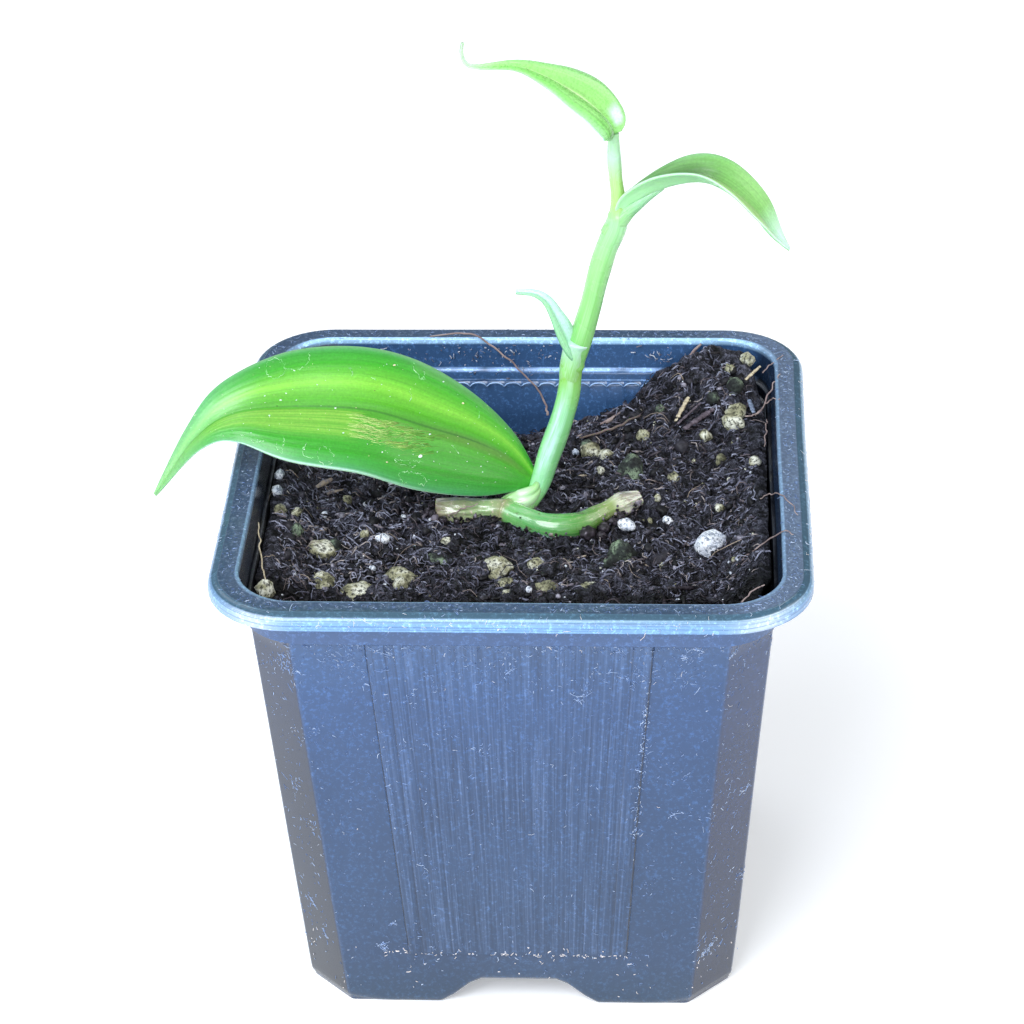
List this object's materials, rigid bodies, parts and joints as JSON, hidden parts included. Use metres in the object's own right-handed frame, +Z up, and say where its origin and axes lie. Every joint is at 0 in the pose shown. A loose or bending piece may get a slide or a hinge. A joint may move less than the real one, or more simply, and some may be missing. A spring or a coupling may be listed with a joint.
{
  "type": "potted vanilla orchid",
  "caption": "Rooted cutting of a variegated vanilla orchid, with a large arching leaf and younger leaves on a slim shoot, in dark potting soil in a square plastic nursery pot.",
  "frame": {"origin": "on the pot's vertical axis, on the plane that its feet and the pad under its base stand on", "axes": "+X to the right along the pot's front face, away from the large leaf's tip; +Y from the front to the back; +Z up"},
  "size_m": [0.1022, 0.09, 0.1508],
  "materials": {
    "pot_plastic": "satin moulded polypropylene, dusty and scuffed",
    "peat_soil": "matte, crumbly and fibrous",
    "cut_stem": "satin, drying brown at its cut ends",
    "root_skin": "matte and papery",
    "shoot_green": "smooth and softly glossy",
    "young_leaf": "smooth and softly glossy",
    "large_leaf": "softly glossy, with yellow-green streaks along its veins",
    "pumice": "rough and porous",
    "perlite": "rough and porous",
    "peat_lump": "matte, with a film of moss"
  },
  "bodies": {
    "root": {"pot": "pot_plastic", "soil": "peat_soil", "old_stem": "cut_stem", "roots": "root_skin", "shoot_stem": "shoot_green", "scale_leaf": "young_leaf", "leaf_large": "large_leaf", "leaf_right": "young_leaf", "leaf_top": "young_leaf", "pumice_1": "pumice", "pumice_2": "pumice", "pumice_3": "pumice", "pumice_4": "pumice", "pumice_5": "pumice", "pumice_6": "pumice", "pumice_7": "pumice", "pumice_8": "pumice", "pumice_9": "pumice", "pumice_10": "pumice", "pumice_11": "pumice", "pumice_12": "pumice", "pumice_13": "pumice", "perlite_1": "perlite", "perlite_2": "perlite", "peat_lump_1": "peat_lump", "peat_lump_2": "peat_lump"}
  },
  "joints": []
}
